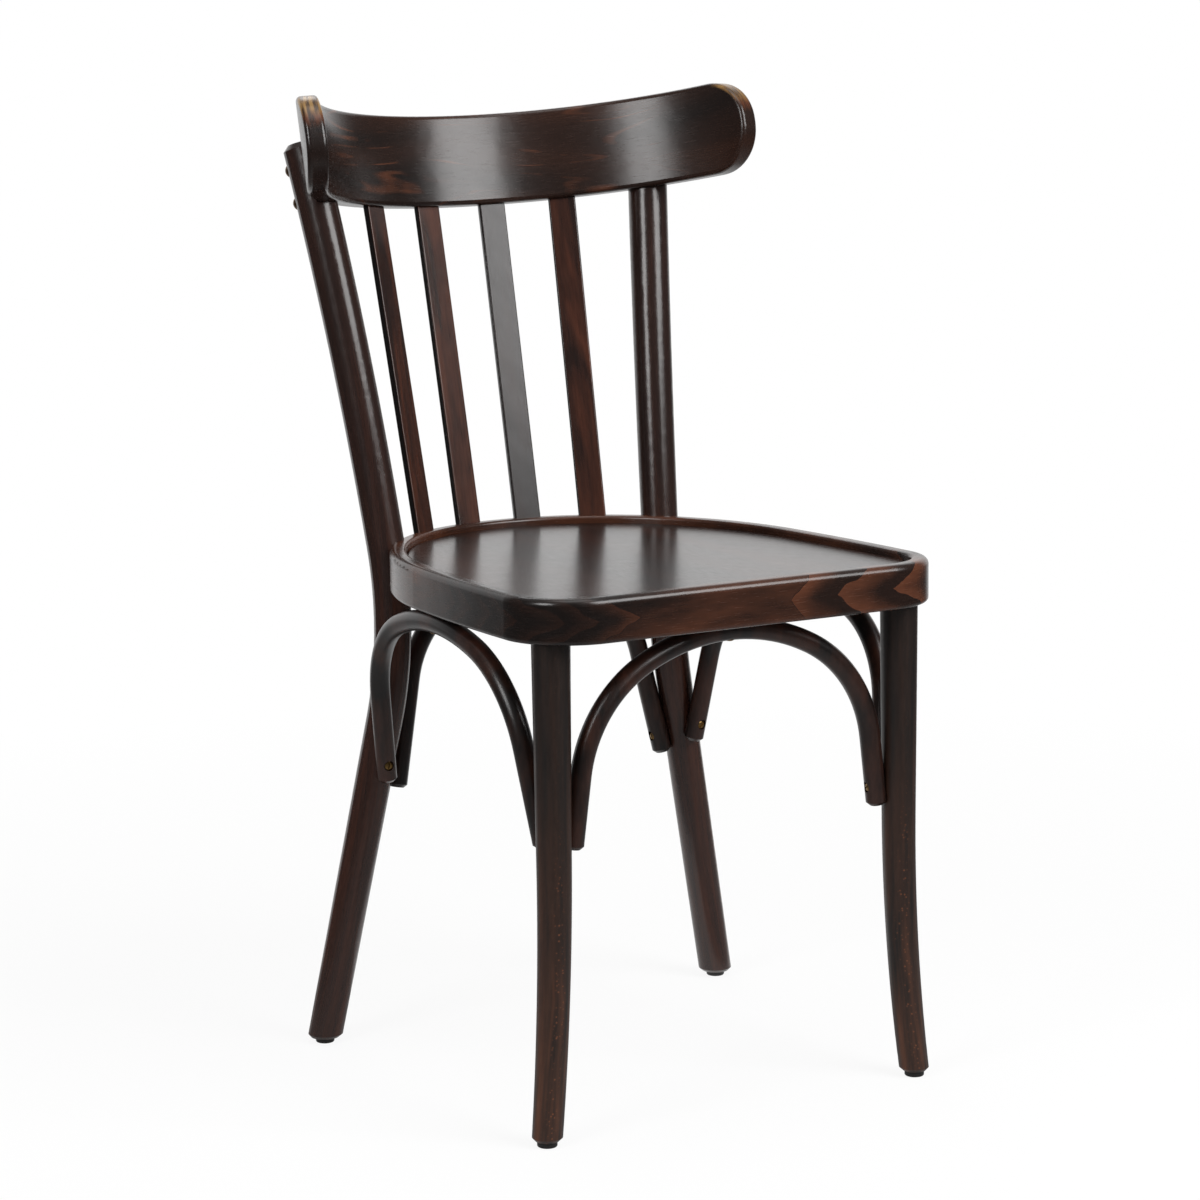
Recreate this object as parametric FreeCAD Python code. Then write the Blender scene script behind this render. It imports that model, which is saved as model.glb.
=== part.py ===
import FreeCAD, Part
import math
import os

# Bentwood bistro chair. Millimetres, +Z up, floor at Z = 0, +X to the sitter's left,
# +Y to the back. Every piece is a separate solid, written to its own STEP file.

# Seat: a ring bent from one length of beech, with a thin panel let into it
seat_height = 460.0
ring_height = 38.0
ring_width = 54.0
front_edge_y = -202.9
front_straight_half = 141.7
front_corner_radius = 61.5
side_radius = 1867.0
side_turn = 5.35
rear_corner_radius = 277.0
rear_corner_turn = 30.6
ring_top_round = 6.0
ring_bottom_round = 4.0
lip_width = 15.0
lip_round = 3.0
panel_recess = 6.5
panel_thickness = 7.0
panel_round = 2.0
panel_gap = 0.4

# Front legs: turned, tapered and steamed outward at the foot
front_foot_x = 185.5
front_foot_y = -167.6
front_leg_x = 171.5
front_leg_y = -162.3
front_leg_knee_z = 125.0
front_leg_bend_radius = 1900.0
front_leg_top_diameter = 32.2
front_leg_foot_diameter = 25.6
leg_tenon_diameter = 20.0
leg_tenon_length = 20.0

# Back posts: one bent rod each, straight to the knee, then bent out and back towards a heading
back_foot_x = 212.1
back_foot_y = 197.1
post_knee_x = 154.2
post_knee_y = 174.4
post_knee_z = 295.4
post_heading = 44.1
post_bend_radius = 440.0
post_bend_turn = 20.95
post_upper_turn = 4.6
post_height = 814.0
post_top_diameter = 37.2
post_foot_diameter = 31.0
post_top_chamfer = 5.0
post_flat_offset = 10.0

# Glides under the four feet
glide_diameter = 17.0
glide_height = 5.0
glide_edge_round = 1.5
glide_pin_diameter = 2.4
glide_pin_length = 14.0
foot_chamfer = 3.0

# Crest: a bent panel with rounded ends, leaning back with the posts
crest_thickness = 19.0
crest_height = 85.0
crest_behind_post = 53.8
crest_below_post = 24.4
crest_lean = 13.4
crest_dip = 10.9
crest_radius = 228.5
crest_half_length = 302.9
crest_end_round = 40.8
crest_edge_round = 4.0

# Four flat slats between the seat ring and the crest
slat_width = 25.5
slat_thickness = 6.5
slat_edge_round = 1.6
slat_tenon_length = 12.0
slat_tenon_width = 18.0
slat_tenon_thickness = 4.0
slat_rim_inset = 4.2
outer_slat_foot_x = 89.3
outer_slat_crest_length = 102.8
inner_slat_foot_x = 31.4
inner_slat_crest_length = 34.4

# Four arches, bent from round rod, between neighbouring legs under the ring. Their ends are
# placed from the axis of the leg that they are screwed to, and their crowns from their ends
arch_diameter = 18.0
arch_seat_depth = 0.8
arch_end_chamfer = 3.0
front_arch_leg_gap = 20.3
front_arch_behind_leg = 4.1
front_arch_end_z = 245.5
front_arch_limb = 60.6
front_arch_splay = 7.3
front_arch_shoulder_turn = 55.0
front_arch_crown_forward = 3.3
back_arch_leg_gap = 25.0
back_arch_before_leg = 2.2
back_arch_end_z = 233.5
back_arch_limb = 100.0
back_arch_splay = 11.5
back_arch_shoulder_turn = 56.0
back_arch_crown_behind = 15.0
side_arch_front_gap = 22.0
side_arch_front_inset = 3.2
side_arch_back_gap = 23.3
side_arch_back_inset = 1.8
side_arch_crown_out = 22.3
side_arch_end_z = 246.0
side_arch_limb = 82.0
side_arch_splay = 8.5
side_arch_shoulder_turn = 63.0

# Screws of the arches: one through each end into a leg, one through each crown into the ring
screw_head_diameter = 8.5
screw_head_height = 3.0
screw_head_dome = 1.6
screw_shank_diameter = 4.0
end_screw_length = 34.0
end_screw_rise = 16.0
end_screw_recess = 2.5
crown_screw_length = 34.0
crown_screw_recess = 0.9

# Round-headed bolts through the posts into the crest, two to a post
crest_bolt_head_diameter = 13.0
crest_bolt_head_height = 4.5
crest_bolt_diameter = 6.0
crest_bolt_end_cover = 6.0
crest_bolt_seat_depth = 1.4
crest_bolt_below_top = 22.0
crest_bolt_spacing = 29.0

# Hexagon-headed bolts from inside the ring into the posts, each on a washer
post_bolt_diameter = 6.0
post_bolt_head_width = 10.0
post_bolt_head_height = 4.0
post_bolt_rise = 11.5
post_bolt_reach = 14.0
washer_diameter = 18.0
washer_thickness = 1.5
washer_seat_depth = 0.9

# Clearance round every shank and head
bolt_clearance = 0.3

# Edge length of the blocks that cut pieces off, larger than the whole chair
work_block = 1500.0

ring_bottom = seat_height - ring_height
arch_radius = arch_diameter / 2.0
arch_crown_z = ring_bottom - arch_radius + arch_seat_depth
up = FreeCAD.Vector(0, 0, 1)


def point(x, y, z=0.0):
    return FreeCAD.Vector(x, y, z)


def unit(vector):
    result = FreeCAD.Vector(vector)
    result.normalize()
    return result


def plan_arc(centre, radius, start_angle, end_angle):
    """Arc in the XY plane, angles in degrees from +X."""
    angles = (start_angle, (start_angle + end_angle) / 2.0, end_angle)
    ends = []
    for angle in angles:
        turn = math.radians(angle)
        ends.append(centre + point(radius * math.cos(turn), radius * math.sin(turn)))
    return Part.Arc(ends[0], ends[1], ends[2]).toShape()


def mirrored(shape):
    """The same shape on the other side of the chair's middle plane."""
    return shape.mirror(point(0, 0), point(1, 0, 0))


def seat_centres():
    """Centres of the seat's corner, side, rear corner and back arcs, with the back's radius.

    The arcs follow each other without a kink, so the back radius follows from the others."""
    corner = point(front_straight_half, front_edge_y + front_corner_radius)
    side = corner + point(front_corner_radius - side_radius, 0)
    turn = math.radians(side_turn)
    rear = side + (side_radius - rear_corner_radius) * point(math.cos(turn), math.sin(turn))
    turn = math.radians(side_turn + rear_corner_turn)
    back_radius = rear_corner_radius + rear.x / math.cos(turn)
    back = rear - (back_radius - rear_corner_radius) * point(math.cos(turn), math.sin(turn))
    return corner, side, rear, back, back_radius


def seat_outline(inset):
    """Closed outline of the seat in plan, moved inward by inset."""
    corner, side, rear, back, back_radius = seat_centres()
    last_angle = side_turn + rear_corner_turn
    half = [
        plan_arc(corner, front_corner_radius - inset, -90, 0),
        plan_arc(side, side_radius - inset, 0, side_turn),
        plan_arc(rear, rear_corner_radius - inset, side_turn, last_angle),
    ]
    front_y = front_edge_y + inset
    front = Part.makeLine(point(-front_straight_half, front_y), point(front_straight_half, front_y))
    rear_curve = plan_arc(back, back_radius - inset, last_angle, 180 - last_angle)
    other_half = [mirrored(edge) for edge in reversed(half)]
    return Part.Wire(Part.__sortEdges__([front] + half + [rear_curve] + other_half))


def slab(outline, bottom, height):
    """Solid of the given height over a closed outline in plan."""
    solid = Part.Face(outline).extrude(point(0, 0, height))
    solid.translate(point(0, 0, bottom))
    return solid


def flat_face_edges(solid, height, largest=True):
    """Edges of the outer or the inner outline of the level face at a height."""
    for face in solid.Faces:
        level = face.BoundBox.ZLength < 0.001 and abs(face.BoundBox.ZMin - height) < 0.001
        if level:
            wires = sorted(face.Wires, key=lambda wire: wire.BoundBox.DiagonalLength)
            return wires[-1].Edges if largest else wires[0].Edges
    return []


def make_seat_ring():
    """Bent frame with a rebate for the panel and rounded arrises."""
    ring = slab(seat_outline(0), ring_bottom, ring_height)
    ring = ring.cut(slab(seat_outline(ring_width), ring_bottom, ring_height))
    rebate_bottom = seat_height - panel_recess - panel_thickness
    ring = ring.cut(slab(seat_outline(lip_width), rebate_bottom, panel_recess + panel_thickness))
    ring = ring.makeFillet(ring_top_round, flat_face_edges(ring, seat_height))
    ring = ring.makeFillet(lip_round, flat_face_edges(ring, seat_height, False))
    return ring.makeFillet(ring_bottom_round, flat_face_edges(ring, ring_bottom))


def make_seat_panel():
    """Thin pressed panel that lies on the ring's rebate."""
    top = seat_height - panel_recess
    panel = slab(seat_outline(lip_width + panel_gap), top - panel_thickness, panel_thickness)
    return panel.makeFillet(panel_round, flat_face_edges(panel, top))


def bent_axis(foot, knee, top, radius):
    """Two straight runs joined by a tangent arc, as corner points of the path."""
    down = unit(foot - knee)
    rise = unit(top - knee)
    half_turn = (math.pi - down.getAngle(rise)) / 2.0
    reach = radius * math.tan(half_turn)
    bisector = unit(down + rise)
    inner = knee + bisector * (radius / math.cos(half_turn) - radius)
    return foot, knee + down * reach, inner, knee + rise * reach, top


def circle_wire(centre, direction, diameter):
    circle = Part.Circle(centre, direction, diameter / 2.0)
    return Part.Wire(circle.toShape())


def bent_path(corners):
    """Straight foot, bend and upper run as one wire; the upper run may be an arc."""
    foot, arc_start, arc_middle, arc_end = corners[:4]
    if len(corners) > 5:
        upper = Part.Arc(arc_end, corners[4], corners[5]).toShape()
    else:
        upper = Part.makeLine(arc_end, corners[4])
    bend = Part.Arc(arc_start, arc_middle, arc_end).toShape()
    return Part.Wire([Part.makeLine(foot, arc_start), bend, upper])


def axis_at(path, height):
    """Point where a bent axis crosses a height."""
    corner = point(-work_block / 2.0, -work_block / 2.0, height)
    level = Part.makePlane(work_block, work_block, corner)
    return path.distToShape(level)[1][0][0]


def tapered_rod(corners, foot_diameter, top_diameter):
    """Round rod along a bent axis, evenly tapered from foot to top."""
    foot, arc_start = corners[:2]
    path = bent_path(corners)
    last = path.Edges[-1]
    top_end = min((last.FirstParameter, last.LastParameter),
                  key=lambda place: last.valueAt(place).distanceToPoint(corners[-1]))
    sweep = Part.BRepOffsetAPI.MakePipeShell(path)
    sweep.add(circle_wire(foot, arc_start - foot, foot_diameter))
    sweep.add(circle_wire(corners[-1], last.tangentAt(top_end), top_diameter))
    sweep.build()
    sweep.makeSolid()
    return sweep.shape()


def half_space(corner, normal):
    """Large block whose face passes through corner and looks along minus normal."""
    half = work_block / 2.0
    block = Part.makeBox(work_block, work_block, work_block, point(-half, -half, 0))
    turn = FreeCAD.Rotation(up, normal)
    block.Placement = FreeCAD.Placement(corner, turn)
    return block


def level_foot(leg):
    """Cut the leg level above its glide and bevel the lower edge."""
    leg = leg.cut(half_space(point(0, 0, glide_height), point(0, 0, -1)))
    return leg.makeChamfer(foot_chamfer, flat_face_edges(leg, glide_height))


def lengthened(start, end, extra):
    """End point moved on by extra along the line from start."""
    return end + unit(end - start) * extra


def front_leg_corners():
    top = point(front_leg_x, front_leg_y, ring_bottom)
    knee = point(front_leg_x, front_leg_y, front_leg_knee_z)
    foot = point(front_foot_x, front_foot_y, 0)
    return bent_axis(lengthened(knee, foot, glide_height), knee, top, front_leg_bend_radius)


def make_front_leg():
    """Leg with a round tenon for the ring."""
    corners = front_leg_corners()
    leg = level_foot(tapered_rod(corners, front_leg_foot_diameter, front_leg_top_diameter))
    tenon = Part.makeCylinder(leg_tenon_diameter / 2.0, leg_tenon_length, corners[-1])
    return leg.fuse(tenon).removeSplitter()


def post_corners():
    """Axis of a post: straight below the knee, a bend, then a long slight bow to the top."""
    foot = point(back_foot_x, back_foot_y, 0)
    knee = point(post_knee_x, post_knee_y, post_knee_z)
    along = unit(knee - foot)
    heading = math.radians(post_heading)
    outward = point(math.cos(heading), math.sin(heading))
    aside = unit(outward - along * outward.dot(along))
    centre = knee + aside * post_bend_radius

    def on_bend(degrees):
        turn = math.radians(degrees)
        return centre - (aside * math.cos(turn) - along * math.sin(turn)) * post_bend_radius

    bend_end = on_bend(post_bend_turn)
    chord_turn = math.radians(post_bend_turn + post_upper_turn / 2.0)
    chord = along * math.cos(chord_turn) + aside * math.sin(chord_turn)
    across = aside * math.cos(chord_turn) - along * math.sin(chord_turn)
    length = (post_height - bend_end.z) / chord.z
    bow = length / 2.0 * math.tan(math.radians(post_upper_turn / 4.0))
    bow_middle = bend_end + chord * (length / 2.0) - across * bow
    start = lengthened(knee, foot, glide_height)
    return start, knee, on_bend(post_bend_turn / 2.0), bend_end, bow_middle, bend_end + chord * length


def post_joint():
    """Centre of the post at the ring and the level direction from ring to post."""
    centre = axis_at(bent_path(post_corners()), seat_height - ring_height / 2.0)
    rear = seat_centres()[2]
    return centre, unit(point(centre.x - rear.x, centre.y - rear.y))


def make_post_blank():
    """Bent post before it is fitted to the crest, with its flat for the ring."""
    corners = post_corners()
    post = level_foot(tapered_rod(corners, post_foot_diameter, post_top_diameter))
    top_face = max(post.Faces, key=lambda face: face.CenterOfMass.z)
    post = post.makeChamfer(post_top_chamfer, top_face.Edges)
    centre, outward = post_joint()
    flat = half_space(centre - outward * post_flat_offset, outward * -1)
    corner = point(-work_block / 2.0, -work_block / 2.0, ring_bottom)
    band = Part.makeBox(work_block, work_block, ring_height, corner)
    return post.cut(flat.common(band))


def crest_frame():
    """Origin at the crest's middle, with the direction of its depth and of its height.

    The panel leans back, and its depth dips a little less than square to that lean."""
    lean = math.radians(crest_lean)
    dip = math.radians(crest_dip)
    post_top = post_corners()[-1]
    origin = point(0, post_top.y + crest_behind_post, post_top.z - crest_below_post)
    backward = point(0, math.cos(dip), -math.sin(dip))
    upward = point(0, math.sin(lean), math.cos(lean))
    return origin, backward, upward


def crest_point(length, offset=0.0, rise=0.0):
    """Point on the bent crest, length measured round its middle surface from the centre."""
    origin, backward, upward = crest_frame()
    angle = length / crest_radius
    radius = crest_radius + offset
    across = radius * math.sin(angle)
    depth = radius * math.cos(angle) - crest_radius
    return origin + point(across, 0, 0) + backward * depth + upward * rise


def crest_arc(start, end, offset, rise):
    middle = (start + end) / 2.0
    ends = [crest_point(length, offset, rise) for length in (start, middle, end)]
    return Part.Arc(ends[0], ends[1], ends[2]).toShape()


def make_crest_blank():
    """Bent panel of even thickness, with its ends rounded almost to a half circle."""
    half = crest_half_length
    low = -crest_height / 2.0
    back = crest_thickness / 2.0
    edges = [crest_arc(-half, half, offset, low) for offset in (-back, back)]
    for end in (-half, half):
        edges.append(Part.makeLine(crest_point(end, -back, low), crest_point(end, back, low)))
    outline = Part.Wire(Part.__sortEdges__(edges))
    origin, backward, upward = crest_frame()
    panel = Part.Face(outline).extrude(upward * crest_height)
    corners = []
    for edge in panel.Edges:
        straight = edge.Curve.TypeId == "Part::GeomLine"
        if straight and abs(edge.Length - crest_thickness) < 0.01:
            corners.append(edge)
    return panel.makeFillet(crest_end_round, corners)


def make_crest():
    """Crest with eased arrises along both faces."""
    blank = make_crest_blank()
    arrises = [edge for edge in blank.Edges if abs(edge.Length - crest_thickness) > 0.01]
    return blank.makeFillet(crest_edge_round, arrises)


def strip(start, end, turn, width, thickness, edge_round):
    """Straight flat strip with rounded long edges, square to its length."""
    length = start.distanceToPoint(end)
    solid = Part.makeBox(width, thickness, length, point(-width / 2.0, -thickness / 2.0, 0))
    long_edges = [edge for edge in solid.Edges if edge.BoundBox.ZLength > length / 2.0]
    solid = solid.makeFillet(edge_round, long_edges)
    spin = FreeCAD.Rotation(up, turn)
    lean = FreeCAD.Rotation(up, end - start)
    solid.Placement = FreeCAD.Placement(start, lean.multiply(spin))
    return solid


def make_slat(foot_x, crest_length, ring, crest):
    """Flat strip fitted between ring and crest, with a thinner tenon at either end."""
    back, back_radius = seat_centres()[3:]
    radius = back_radius - slat_rim_inset
    foot = back + point(foot_x, math.sqrt(radius * radius - foot_x * foot_x), seat_height)
    top = crest_point(crest_length, 0.0, -crest_height / 2.0)
    start = lengthened(top, foot, slat_tenon_length)
    end = lengthened(foot, top, slat_tenon_length)
    turn = -math.degrees(math.asin(foot_x / radius) + crest_length / crest_radius) / 2.0
    body = strip(start, end, turn, slat_width, slat_thickness, slat_edge_round)
    body = largest(body.cut(ring).cut(crest))
    tenons = strip(start, end, turn, slat_tenon_width, slat_tenon_thickness, slat_edge_round)
    return body.fuse(tenons).removeSplitter()


def arch_path(half_span, rise, limb, splay, shoulder_turn):
    """Half of an arch as (across, up) points: end, springing, bend, haunch, crown.

    The shoulder's radius follows from the span and the rise, and so does the crown's."""
    start = math.radians(splay)
    finish = math.radians(splay + shoulder_turn)
    spring_across = half_span - limb * math.sin(start)
    spring_up = limb * math.cos(start)
    shoulder_across = math.cos(start) - math.cos(finish)
    shoulder_up = math.sin(finish) - math.sin(start)
    crown_across = math.cos(finish)
    crown_up = 1.0 - math.sin(finish)
    height = rise - spring_up
    radius = spring_across * crown_up - height * crown_across
    radius = radius / (shoulder_across * crown_up - shoulder_up * crown_across)

    def on_shoulder(angle):
        across = spring_across - radius * (math.cos(start) - math.cos(angle))
        return across, spring_up + radius * (math.sin(angle) - math.sin(start))

    bend = on_shoulder((start + finish) / 2.0)
    return (half_span, 0.0), on_shoulder(start), bend, on_shoulder(finish), (0.0, rise)


def arch_plane(name):
    """Middle of an arch's open end, its directions across and up, and its half outline."""
    front_leg_line = bent_path(front_leg_corners())
    post_line = bent_path(post_corners())
    if name == "front":
        leg = axis_at(front_leg_line, front_arch_end_z)
        end = point(0, leg.y + front_arch_behind_leg, front_arch_end_z)
        crown = point(0, end.y - front_arch_crown_forward, arch_crown_z)
        sizes = (front_arch_limb, front_arch_splay, front_arch_shoulder_turn)
        half_span = leg.x - front_arch_leg_gap
        across = point(1, 0)
    elif name == "back":
        leg = axis_at(post_line, back_arch_end_z)
        end = point(0, leg.y - back_arch_before_leg, back_arch_end_z)
        crown = point(0, end.y + back_arch_crown_behind, arch_crown_z)
        sizes = (back_arch_limb, back_arch_splay, back_arch_shoulder_turn)
        half_span = leg.x - back_arch_leg_gap
        across = point(1, 0)
    else:
        front = axis_at(front_leg_line, side_arch_end_z)
        back = axis_at(post_line, side_arch_end_z)
        front = front + point(-side_arch_front_inset, side_arch_front_gap)
        back = back - point(side_arch_back_inset, side_arch_back_gap)
        end = (front + back) * 0.5
        across = unit(back - front)
        out = side_arch_crown_out / across.y
        crown = end + point(across.y, -across.x) * out
        crown.z = arch_crown_z
        sizes = (side_arch_limb, side_arch_splay, side_arch_shoulder_turn)
        half_span = front.distanceToPoint(back) / 2.0
    rise = crown - end
    return end, across, unit(rise), arch_path(half_span, rise.Length, *sizes)


def in_plane(plane, pair, side=1.0):
    end, across, upward, outline = plane
    return end + across * (pair[0] * side) + upward * pair[1]


def make_arch(plane):
    """Round rod bent into an arch, with bevelled ends."""
    end, spring, bend, haunch, crown = plane[3]
    runs = []
    for side in (-1.0, 1.0):
        corners = [in_plane(plane, pair, side) for pair in (end, spring, bend, haunch)]
        runs.append(Part.makeLine(corners[0], corners[1]))
        runs.append(Part.Arc(corners[1], corners[2], corners[3]).toShape())
    crown_ends = [in_plane(plane, haunch, -1.0), in_plane(plane, haunch)]
    runs.append(Part.Arc(crown_ends[0], in_plane(plane, crown), crown_ends[1]).toShape())
    start = in_plane(plane, end)
    sweep = Part.BRepOffsetAPI.MakePipeShell(Part.Wire(Part.__sortEdges__(runs)))
    sweep.add(circle_wire(start, in_plane(plane, spring) - start, arch_diameter))
    sweep.build()
    sweep.makeSolid()
    rod = sweep.shape()
    rims = []
    for side in (-1.0, 1.0):
        tip = in_plane(plane, end, side)
        face = min(rod.Faces, key=lambda each: each.CenterOfMass.distanceToPoint(tip))
        rims = rims + face.Edges
    return rod.makeChamfer(arch_end_chamfer, rims)


def turned(profile, base, direction):
    """Solid of revolution from (radius, height) points, placed along a direction."""
    corners = [point(radius, 0, height) for radius, height in profile]
    outline = Part.makePolygon(corners + [corners[0]])
    solid = Part.Face(outline).revolve(point(0, 0), up, 360)
    solid.Placement = FreeCAD.Placement(base, FreeCAD.Rotation(up, unit(direction)))
    return solid


def dome(radius, height, base, direction):
    """Shallow round cap standing on a flat base."""
    ball = (radius * radius + height * height) / (2.0 * height)
    rim = point(radius, 0, 0)
    bend_angle = math.asin(radius / ball) / 2.0
    bend = point(ball * math.sin(bend_angle), 0, ball * math.cos(bend_angle) - ball + height)
    crown = point(0, 0, height)
    edges = [Part.makeLine(point(0, 0), rim), Part.Arc(rim, bend, crown).toShape()]
    edges.append(Part.makeLine(crown, point(0, 0)))
    solid = Part.Face(Part.Wire(edges)).revolve(point(0, 0), up, 360)
    solid.Placement = FreeCAD.Placement(base, FreeCAD.Rotation(up, unit(direction)))
    return solid


def wood_screw(rim, direction, length):
    """Raised countersunk screw whose rim lies at a point, driven along a direction."""
    head = screw_head_diameter / 2.0
    shank = screw_shank_diameter / 2.0
    profile = [(0, 0), (head, 0), (shank, screw_head_height)]
    profile = profile + [(shank, length - screw_shank_diameter), (0, length)]
    body = turned(profile, rim, direction)
    return body.fuse(dome(head, screw_head_dome, rim, direction * -1)).removeSplitter()


def screw_hole(rim, direction, length, recess):
    """Hole for a wood screw, open outward over the head's recess."""
    head = screw_head_diameter / 2.0 + bolt_clearance
    shank = screw_shank_diameter / 2.0 + bolt_clearance
    end = length + bolt_clearance
    open_end = -recess - screw_head_diameter
    profile = [(0, open_end), (head, open_end), (head, bolt_clearance)]
    profile = profile + [(shank, screw_head_height + bolt_clearance)]
    profile = profile + [(shank, end - screw_shank_diameter), (0, end)]
    return turned(profile, rim, direction)


def end_screw(plane, side, leg_path):
    """Place of the screw near an arch's end: rim and direction towards the leg's axis."""
    end, spring = plane[3][0], plane[3][1]
    limb = unit(in_plane(plane, spring, side) - in_plane(plane, end, side))
    centre = in_plane(plane, end, side) + limb * end_screw_rise
    direction = unit(axis_at(leg_path, centre.z) - centre)
    return centre - direction * (arch_radius - end_screw_recess), direction


def crown_screw(plane):
    """Place of the screw under an arch's crown, driven straight up into the ring."""
    crown = in_plane(plane, plane[3][4])
    return crown - up * (arch_radius - crown_screw_recess), up


def crest_bolt(seat, direction, length):
    """Bolt with a domed round head, its head's flat underside at seat."""
    shank = crest_bolt_diameter / 2.0
    profile = [(0, 0), (shank, 0), (shank, length - shank), (0, length)]
    head = dome(crest_bolt_head_diameter / 2.0, crest_bolt_head_height, seat, direction * -1)
    return turned(profile, seat, direction).fuse(head).removeSplitter()


def stepped_hole(seat, direction, length, shank_diameter, head_diameter):
    """Hole with a flat seat for a head, open outward and closed at the far end."""
    head = head_diameter / 2.0 + bolt_clearance
    shank = shank_diameter / 2.0 + bolt_clearance
    end = length + bolt_clearance
    profile = [(0, -head_diameter), (head, -head_diameter), (head, 0), (shank, 0)]
    profile = profile + [(shank, end), (0, end)]
    return turned(profile, seat, direction)


def post_bolt(seat, direction, length):
    """Bolt with a hexagon head whose underside is at seat."""
    shank = post_bolt_diameter / 2.0
    profile = [(0, 0), (shank, 0), (shank, length - shank), (0, length)]
    corner_radius = post_bolt_head_width / math.sqrt(3.0)
    corners = []
    for step in range(7):
        angle = math.radians(60 * step)
        corners.append(point(corner_radius * math.cos(angle), corner_radius * math.sin(angle)))
    head = Part.Face(Part.makePolygon(corners)).extrude(point(0, 0, post_bolt_head_height))
    head.Placement = FreeCAD.Placement(seat, FreeCAD.Rotation(up, direction * -1))
    return turned(profile, seat, direction).fuse(head).removeSplitter()


def washer(seat, direction):
    """Flat washer lying on seat, thickness against the bolt's direction."""
    disc = Part.makeCylinder(washer_diameter / 2.0, washer_thickness, seat, direction * -1)
    bore = post_bolt_diameter / 2.0 + bolt_clearance
    return disc.cut(Part.makeCylinder(bore, washer_thickness, seat, direction * -1))


def make_glide(foot):
    """Round floor glide with its nail."""
    radius = glide_diameter / 2.0
    disc = Part.makeCylinder(radius, glide_height, point(foot.x, foot.y))
    disc = disc.makeFillet(glide_edge_round, flat_face_edges(disc, 0.0))
    shank = glide_pin_diameter / 2.0
    reach = glide_pin_length
    profile = [(0, 0), (shank, 0), (shank, reach - glide_pin_diameter), (0, reach)]
    nail = turned(profile, point(foot.x, foot.y, glide_height), up)
    return disc.fuse(nail).removeSplitter()


def largest(shape):
    return max(shape.Solids, key=lambda solid: solid.Volume)


# Pieces at +X, their mirror images follow below
ring = make_seat_ring()
panel = make_seat_panel()
front_leg = make_front_leg()
post = make_post_blank()
crest_blank = make_crest_blank()
crest = make_crest()
front_leg_path = bent_path(front_leg_corners())
post_path = bent_path(post_corners())

# Bolts from the ring's inner face into the post's flat
post_centre, post_outward = post_joint()
bolt_height = ring_bottom + post_bolt_rise
bolt_axis = point(post_centre.x, post_centre.y, bolt_height)
reach_line = Part.makeLine(bolt_axis, bolt_axis - post_outward * work_block)
crossings = ring.common(reach_line).Vertexes
crossings = sorted(crossings, key=lambda each: each.Point.distanceToPoint(bolt_axis))
washer_seat = crossings[1].Point + post_outward * washer_seat_depth
bolt_seat = washer_seat - post_outward * washer_thickness
bolt_length = bolt_seat.distanceToPoint(bolt_axis) - post_flat_offset + post_bolt_reach
post_bolt_hole = stepped_hole(washer_seat, post_outward, bolt_length - washer_thickness,
                              post_bolt_diameter, washer_diameter)
inside_bolt = post_bolt(bolt_seat, post_outward, bolt_length)
inside_washer = washer(washer_seat, post_outward)

# Posts are cut to the crest's rear face and bolted to it
post = largest(post.cut(crest_blank))
crest_bolts = []
crest_bolt_upper_z = post_height - crest_bolt_below_top
for height in (crest_bolt_upper_z, crest_bolt_upper_z - crest_bolt_spacing):
    axis_point = axis_at(post_path, height)
    contact = Part.Vertex(axis_point).distToShape(crest_blank)[1][0][1]
    inward = unit(contact - axis_point)
    seat = axis_point - inward * (post_top_diameter / 2.0 - crest_bolt_seat_depth)
    length = contact.distanceToPoint(seat) + crest_thickness - crest_bolt_end_cover
    crest_bolts.append(crest_bolt(seat, inward, length))
    hole = stepped_hole(seat, inward, length, crest_bolt_diameter, crest_bolt_head_diameter)
    post = post.cut(hole)
    crest = crest.cut(hole).cut(mirrored(hole))

# Ring housed for the posts and bored for the tenons
for fitted in (post, front_leg, post_bolt_hole):
    ring = ring.cut(fitted).cut(mirrored(fitted))
post = post.cut(post_bolt_hole)

# Slats let into the ring and the crest
outer_slat = make_slat(outer_slat_foot_x, outer_slat_crest_length, ring, crest)
inner_slat = make_slat(inner_slat_foot_x, inner_slat_crest_length, ring, crest)
for slat in (outer_slat, inner_slat):
    ring = ring.cut(slat).cut(mirrored(slat))
    crest = crest.cut(slat).cut(mirrored(slat))

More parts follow.
